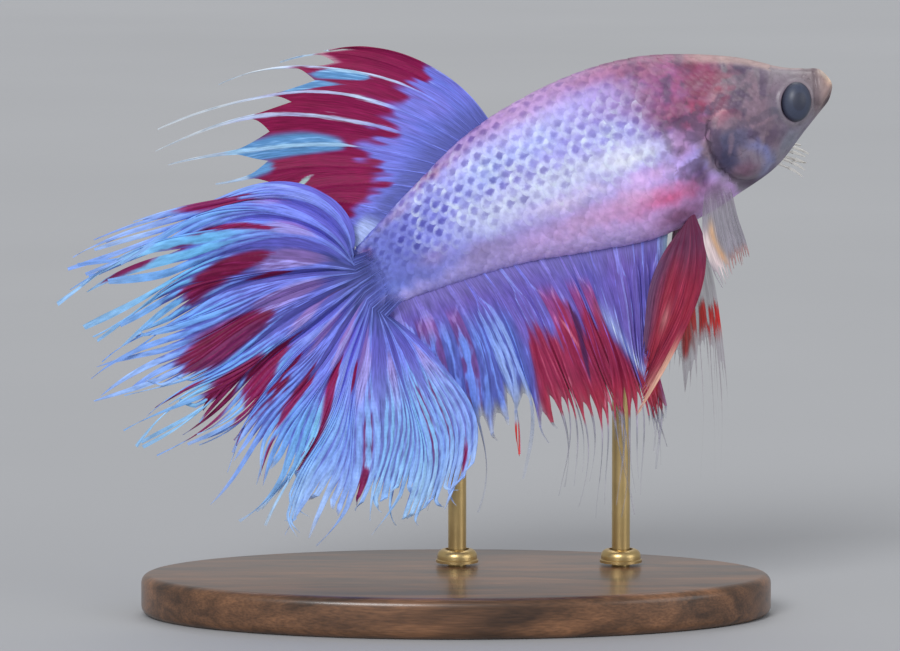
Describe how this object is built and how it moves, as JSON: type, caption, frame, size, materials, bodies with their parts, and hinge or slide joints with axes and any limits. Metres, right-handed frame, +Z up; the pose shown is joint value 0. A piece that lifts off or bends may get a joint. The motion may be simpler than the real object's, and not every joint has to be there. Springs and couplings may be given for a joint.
{
  "type": "betta fish",
  "caption": "Life-size male Siamese fighting fish, Betta splendens, combtail form, swimming head-up on an oval display stand.",
  "frame": {"origin": "middle of the underside of the stand's base, on the surface that the stand rests on", "axes": "+Z up; +X the way the fish heads, with its snout raised 20.5 degrees; -Y towards the fish's right side"},
  "size_m": [0.0762, 0.035, 0.056],
  "materials": {
    "skin": "wet scaled skin, periwinkle blue over rose, with a pearly band along the flank",
    "head_skin": "wet skin, grey mauve mottled with maroon",
    "lip": "wet cream lip",
    "blue_fin": "thin wet fin skin, periwinkle and sky blue with crimson patches, clear at the ray tips",
    "red_fin": "thin wet fin skin, deep red with clear ray tips",
    "clear_fin": "thin wet fin skin, greyish and almost clear",
    "eye": "wet dark slate eye",
    "base_wood": "dark satin walnut",
    "rod_brass": "brushed brass"
  },
  "bodies": {
    "root": {"head": "head_skin", "upper_lip": "lip", "lower_jaw": "lip", "gill_cover_left": "head_skin", "gill_cover_right": "head_skin", "eye_left": "eye", "eye_right": "eye", "trunk": "skin", "tail_stalk": "skin", "dorsal_fin": "blue_fin", "anal_fin": "blue_fin", "caudal_fin": "blue_fin", "pelvic_fin_right": "red_fin", "pelvic_fin_left": "red_fin", "pectoral_fin_right": "clear_fin", "pectoral_fin_left": "clear_fin", "stand_base": "base_wood", "stand_rod_front": "rod_brass", "stand_rod_rear": "rod_brass", "stand_collar_front": "rod_brass", "stand_collar_rear": "rod_brass"}
  },
  "joints": []
}
